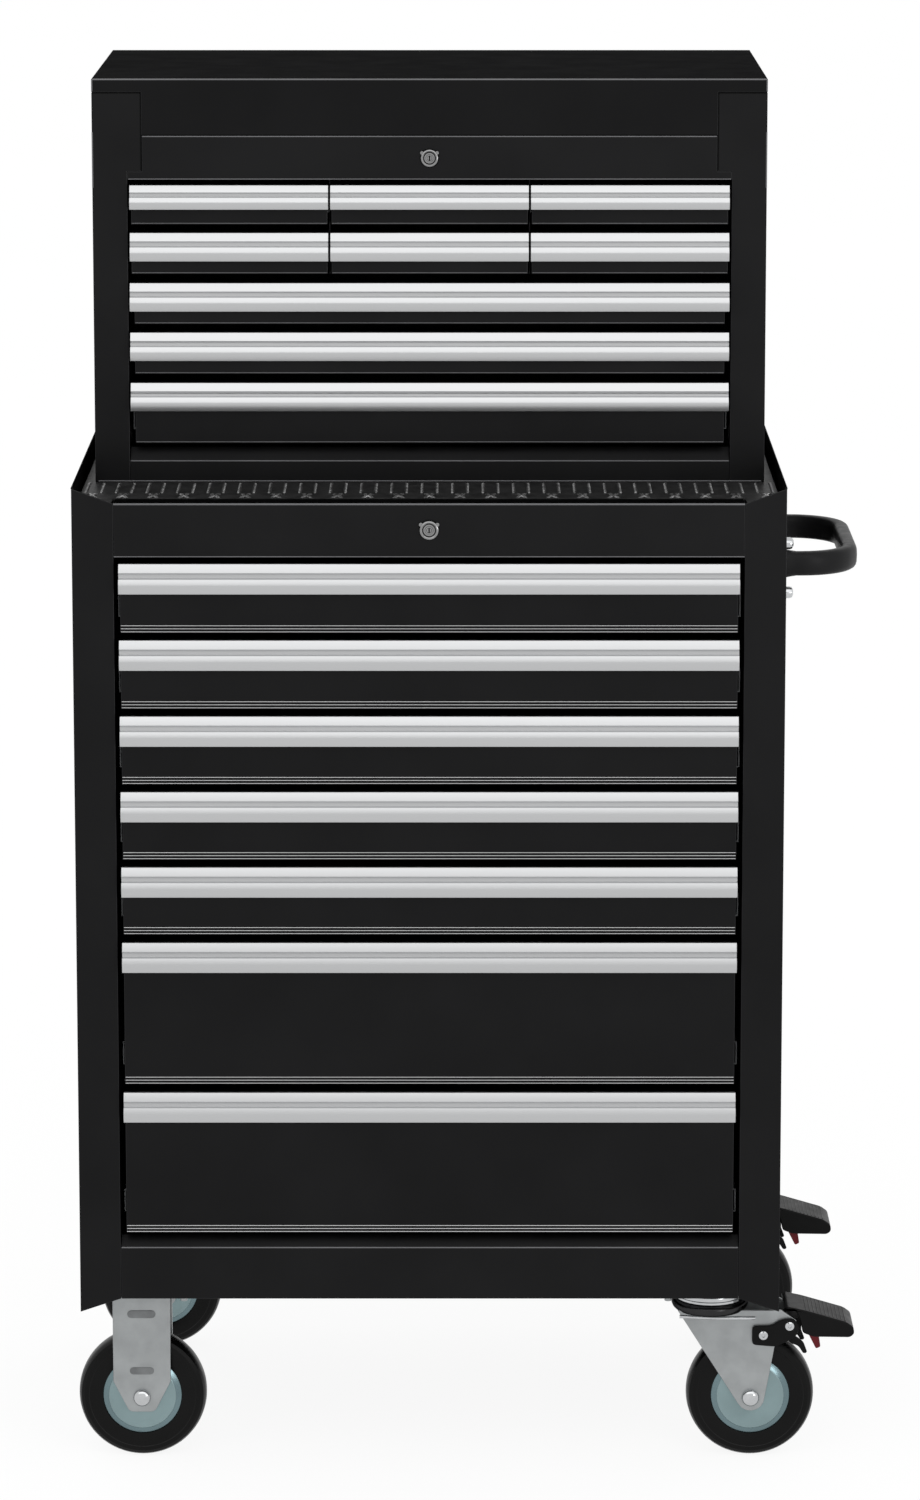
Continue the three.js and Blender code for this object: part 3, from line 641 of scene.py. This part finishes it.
# Half sections in (radius, distance from the middle of a wheel or fork), in millimetres.
TYRE_SIDE = ((39.0, 12.0), (39.4, 14.6), (44.0, 15.6), (52.5, 15.9), (53.4, 15.2), (57.5, 14.6), (60.6, 12.6),
             (62.4, 9.4))
DISC_DISH = ((7.2, 17.2), (12.5, 17.2), (13.4, 16.4), (32.8, 16.4), (33.4, 16.1), (33.4, 11.6), (7.2, 11.6))
DISC_RING = ((33.5, 16.2), (40.8, 13.3), (41.6, 12.6), (41.0, 11.6), (33.5, 11.6))
RIM = ((7.2, -12.4), (39.2, -12.4), (39.2, 12.4), (7.2, 12.4))
AXLE_HEAD = ((0, 27.0), (3.6, 26.8), (6.4, 26.0), (8.2, 24.4), (8.7, 22.4), (8.7, 21.6), (0, 21.6))
SCREW_HEAD = ((0, 26.3), (1.4, 26.3), (1.8, 27.2), (3.2, 27.2), (4.4, 26.4), (4.4, 25.3), (0, 25.3))
HUB = ((4.7, -17.3), (9, -17.3), (9, 17.3), (4.7, 17.3))

# Sections in (radius, height above the floor).
RACE = ((35.2, 172.6), (36.8, 171), (37.4, 168.6), (36.6, 166.2), (34.8, 164.8), (32.5, 164), (31, 163.2),
        (31, 172.6))
CROWN = ((33.6, 162), (36.2, 161), (37.8, 158.6), (38.2, 155.8), (37, 153), (35, 151), (33.6, 151))

# Outlines of the brake in (x from the caster's pivot, height above the floor).
BRAKE_COVER = ((41, 119), (41, 138), (60, 138.5), (70, 145), (82, 146), (88, 138), (85, 128), (77, 123),
               (64, 117))
BRAKE_HOOK = ((76, 126), (84, 127), (92, 121), (96, 110), (92, 109), (87, 117), (78, 120))
BRAKE_SCREWS = ((52, 129), (78, 138.5))
PEDAL = ((71, 154.6), (76, 158), (92, 154.6), (134, 142.4), (141.5, 137), (142.2, 130), (138, 126.5),
         (102, 127), (91, 131), (88.5, 145), (84, 154.4))
PEDAL_WEB = ((78, 142), (90, 145), (90, 128), (78, 124))
PEDAL_AXIS = (78, 133)
RELEASE_TAB = ((97, 129), (107, 129), (109, 116), (104.5, 114))
LEG_FACE = 21.6  # from the middle of a fork to the outside of its legs


def mirrored(bm, section, centre, segments, closed=False):
    """A lathe about the y axis on both sides of a wheel or fork."""
    for side in BOTH:
        add_lathe(bm, "y", [(r, side * y) for r, y in section], centre, segments, closed)


def wheel(name):
    """A solid rubber tyre with rounded shoulders, held between two dished zinc discs on a hub. The discs'
    bevelled rings are a darker copy of their zinc: painted shade.
    """
    lo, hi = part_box(name)
    centre = (lo + hi) / 2
    radius = (hi.z - lo.z) / 2 / MM
    half = [*TYRE_SIDE, (radius - 0.3, 5.0)]
    profile = [(r, -y) for r, y in half] + [(radius, 0)] + [(r, y) for r, y in reversed(half)]
    tyre, discs, rings = bmesh.new(), bmesh.new(), bmesh.new()
    add_lathe(tyre, "y", profile, centre, 96, closed=True)
    mirrored(discs, DISC_DISH, centre, 72, closed=True)
    mirrored(rings, DISC_RING, centre, 72, closed=True)
    add_lathe(discs, "y", RIM, centre, 72, closed=True)
    piece(name + "_tyre", tyre, TYRE, name, replaces=[name], angle=24)
    piece(name + "_discs", discs, DISC, name, angle=24)
    piece(name + "_disc_rings", rings, DISC_RING_SHADE, name, angle=24)


def axle_heads(name, body, centre):
    """The riveted heads of an axle, outside both legs of its fork."""
    bm = bmesh.new()
    mirrored(bm, AXLE_HEAD, centre, 32)
    piece(name, bm, CHROME, body, angle=50)


def plate_bolts(name, centre, bottom):
    """Four nuts under a caster's plate, each on the end of its bolt."""
    bm = bmesh.new()
    for dx in (-43, 43):
        for dy in (-33, 33):
            top = Vector((centre.x + dx * MM, centre.y + dy * MM, bottom))
            nut, tip = top - Vector((0, 0, 4.8 * MM)), top - Vector((0, 0, 8 * MM))
            add_rod(bm, top, nut, 6.4, 6)
            add_rod(bm, nut, tip, 3.6, 14)
    piece(name, bm, ZINC, "root", bevel=0.5)


def fork_pressings(name, centre):
    """A slot pressed into each leg of the fixed fork near its top, and a shorter one above the axle."""
    bm = bmesh.new()
    for half, level, radius in ((14, 149.5, 4.0), (12, 91, 3.6)):
        outline = []
        for x, start in ((half - radius, -90), (radius - half, 90)):
            for i in range(7):
                a = math.radians(start + 180 * i / 6)
                outline.append((x + radius * math.cos(a), level + radius * math.sin(a)))
        for side in BOTH:
            low, high = sorted((side * LEG_FACE, side * LEG_FACE + side * 0.5))
            add_prism(bm, "y", outline, low, high, Vector((centre.x, centre.y, 0)))
    piece(name, bm, PRESSED, "root", bevel=0.2)


def swivel_head(end, centre):
    """The polished race under the plate, the fork's crown below it in near black as a painted dark
    reflection, and chrome rods on its shoulders as painted highlights along the folds.
    """
    race, crown, folds = bmesh.new(), bmesh.new(), bmesh.new()
    add_lathe(race, "z", RACE, centre, 64, closed=True)
    add_lathe(crown, "z", CROWN, centre, 64, closed=True)
    # Chrome rods on the zinc fork's shoulders: painted highlights along its top folds.
    for side in BOTH:
        corners = ((-31, side * 21.0, 147), (6, side * 21.3, 145.5), (44, side * 21.3, 145.5))
        places = [centre + Vector(corner) * MM for corner in corners]
        for start, stop in zip(places, places[1:]):
            add_rod(folds, start, stop, 1.9, 10)
    piece(f"swivel_race_{end}", race, CHROME, "root", angle=60)
    piece(f"swivel_crown_{end}", crown, CROWN_DARK_REFLECTION, f"swivel_{end}", angle=60)
    piece(f"swivel_fork_fold_highlights_{end}", folds, CHROME, f"swivel_{end}", angle=50)


def brake_housing(end, origin):
    """Black covers on the fork's ears, with their screws and a trip hook behind each."""
    covers, screws = bmesh.new(), bmesh.new()
    for side in BOTH:
        add_prism(covers, "y", rounded(BRAKE_COVER, 4), *sorted((side * 21.7, side * 25.4)), origin)
        add_prism(covers, "y", rounded(BRAKE_HOOK), *sorted((side * 18.6, side * 22.4)), origin)
    for x, z in BRAKE_SCREWS:
        mirrored(screws, SCREW_HEAD, origin + Vector((x, 0, z)) * MM, 24)
    piece(f"brake_housing_{end}", covers, PLASTIC, f"swivel_{end}", bevel=0.9, segments=3)
    piece(f"brake_screws_{end}", screws, CHROME, f"swivel_{end}", angle=30)


def foot_pedal(end, origin):
    """The wedge that is trodden on, with its grip lines, its hub and the red release tab under it."""
    body = f"brake_pedal_{end}"
    pad, web, grips, tab = bmesh.new(), bmesh.new(), bmesh.new(), bmesh.new()
    add_prism(pad, "y", rounded(PEDAL), -25, 25, origin)
    add_prism(web, "y", PEDAL_WEB, -17, 17, origin)
    add_lathe(web, "y", HUB, origin + Vector((PEDAL_AXIS[0], 0, PEDAL_AXIS[1])) * MM, 32, closed=True)
    for i in range(11):
        x = 94 + i * 3.9
        z = 153.9 - (x - 92) * 12.2 / 42  # down the pad's slope
        add_rod(grips, origin + Vector((x, -21, z)) * MM, origin + Vector((x, 21, z)) * MM, 1.0)
    add_prism(tab, "y", rounded(RELEASE_TAB, 1.6), -22, -15, origin)
    piece(f"foot_pedal_{end}", pad, PLASTIC, body, bevel=1.6, segments=3, replaces=[body])
    piece(f"pedal_hub_{end}", web, PLASTIC, body, bevel=0.6)
    piece(f"pedal_grips_{end}", grips, PLASTIC, body, angle=60)
    piece(f"release_tab_{end}", tab, RED, body, bevel=0.7, segments=3)


for end in ("front", "rear"):
    wheel(f"rigid_wheel_{end}")
    wheel(f"swivel_wheel_{end}")
    fixed = joint_at(f"rigid_wheel_{end}_spin")
    pivot = joint_at(f"swivel_{end}_turn")
    pivot.z = 0
    plate_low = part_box(f"swivel_plate_{end}")[1].z - 3 * MM
    axle_heads(f"rigid_axle_heads_{end}", "root", fixed)
    axle_heads(f"swivel_axle_heads_{end}", f"swivel_{end}", joint_at(f"swivel_wheel_{end}_spin"))
    plate_bolts(f"rigid_plate_bolts_{end}", fixed, plate_low)
    plate_bolts(f"swivel_plate_bolts_{end}", pivot, plate_low)
    fork_pressings(f"rigid_fork_pressings_{end}", fixed)
    swivel_head(end, pivot)
    brake_housing(end, pivot)
    foot_pedal(end, pivot)

# ---------------------------------------------------------------- mat tread

TREAD_PAIRS, RIB_BARS, RIB_STEP = 22, 7, 8.2
CROSS_DEPTH, RIB_DEPTH = 45, 64  # behind the cabinet's front


def tread_bar(bm, x, y, width, length, lean, level):
    """A low bar with sloping sides on the mat, leaning in degrees from straight back."""
    middle = at(x, y, level)
    place = Matrix.Translation(middle) @ Matrix.Rotation(math.radians(lean), 4, "Z")
    size = Matrix.Diagonal((width * MM, length * MM, 1.6 * MM, 1))
    for v in bmesh.ops.create_cube(bm, size=1, matrix=place @ size)["verts"]:
        if v.co.z > middle.z:
            v.co = middle + (v.co - middle) * 0.6
            v.co.z = middle.z + 0.8 * MM


def mat_tread():
    """Treads on the open strip of the mat: pairs of broken ribs running back, behind crossed bars, their tops
    light grey and bright metal as painted glints.
    """
    mat_low, mat_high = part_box("top_mat")
    half = (mat_high.x - mat_low.x) / 2 / MM - 12
    ribs, crosses = bmesh.new(), bmesh.new()
    for pair in range(TREAD_PAIRS + 1):
        x = -half + pair * 2 * half / TREAD_PAIRS
        for lean in (-22, 22):
            tread_bar(crosses, x, CROSS_DEPTH, 3.0, 26, lean, CABINET_TOP + 0.5)
        for side in BOTH:
            for i in range(RIB_BARS):
                y = RIB_DEPTH + i * RIB_STEP
                tread_bar(ribs, x + side * 7, y, 2.4, 6.6, side * 14, CABINET_TOP + 0.4)
    piece("mat_tread_ribs", ribs, TREAD_GLINT, "root", angle=20)
    piece("mat_tread_crosses", crosses, CROSS_GLINT, "root", angle=20)


mat_tread()

# ---------------------------------------------------------------- stage, light and camera

FLOOR_HALF = 40.0  # metres
CAMERA = {"aside": 29.6, "distance": 5000, "height": 1837, "pitch": 9.244, "lens": 127.13, "shift": -0.2}


def backdrop_floor():
    """A white floor that mostly glows, so that it stays even and takes only a faint shadow."""
    bm = bmesh.new()
    corners = ((-1, -1), (1, -1), (1, 1), (-1, 1))
    bm.faces.new([bm.verts.new((sx * FLOOR_HALF, sy * FLOOR_HALF, 0)) for sx, sy in corners])
    mesh = bpy.data.meshes.new("studio_floor")
    bm.to_mesh(mesh)
    bm.free()
    floor = bpy.data.objects.new("studio_floor", mesh)
    bpy.context.scene.collection.objects.link(floor)
    glowing = surface("glowing_white_floor", (0.10, 0.10, 0.10), 0.9, specular=0.0, patch=0.6, shade=0.02,
                      relief=0.01)
    shader = glowing.node_tree.nodes["Principled BSDF"]
    shader.inputs["Emission Color"].default_value = (1, 1, 1, 1)
    shader.inputs["Emission Strength"].default_value = 0.9
    mesh.materials.append(glowing)


def softbox(name, place, target, size, power):
    light = bpy.data.lights.new(name, "AREA")
    light.shape = "RECTANGLE"
    light.size, light.size_y = size
    light.energy = power
    made = bpy.data.objects.new(name, light)
    bpy.context.scene.collection.objects.link(made)
    made.location = place
    made.rotation_euler = (Vector(target) - Vector(place)).to_track_quat("-Z", "Y").to_euler()


def studio():
    backdrop_floor()
    world = bpy.data.worlds.new("studio_white")
    bpy.context.scene.world = world
    world.use_nodes = True
    world.node_tree.nodes["Background"].inputs["Color"].default_value = (1, 1, 1, 1)
    world.node_tree.nodes["Background"].inputs["Strength"].default_value = 1.0
    softbox("wide_softbox", (0, -3.0, 3.2), (0, 0, 0.9), (6.0, 2.8), 46)
    softbox("side_card", (2.3, -3.4, 1.0), (0, 0, 0.3), (0.9, 0.9), 14)


def camera():
    lens = bpy.data.cameras.new("camera")
    lens.lens = CAMERA["lens"]
    lens.sensor_width = 36
    lens.shift_y = CAMERA["shift"]
    made = bpy.data.objects.new("camera", lens)
    bpy.context.scene.collection.objects.link(made)
    made.location = at(CAMERA["aside"], -CAMERA["distance"], CAMERA["height"])
    made.rotation_euler = (math.radians(90 - CAMERA["pitch"]), 0, 0)
    bpy.context.scene.camera = made


studio()
camera()
bpy.context.scene.view_settings.view_transform = "Standard"
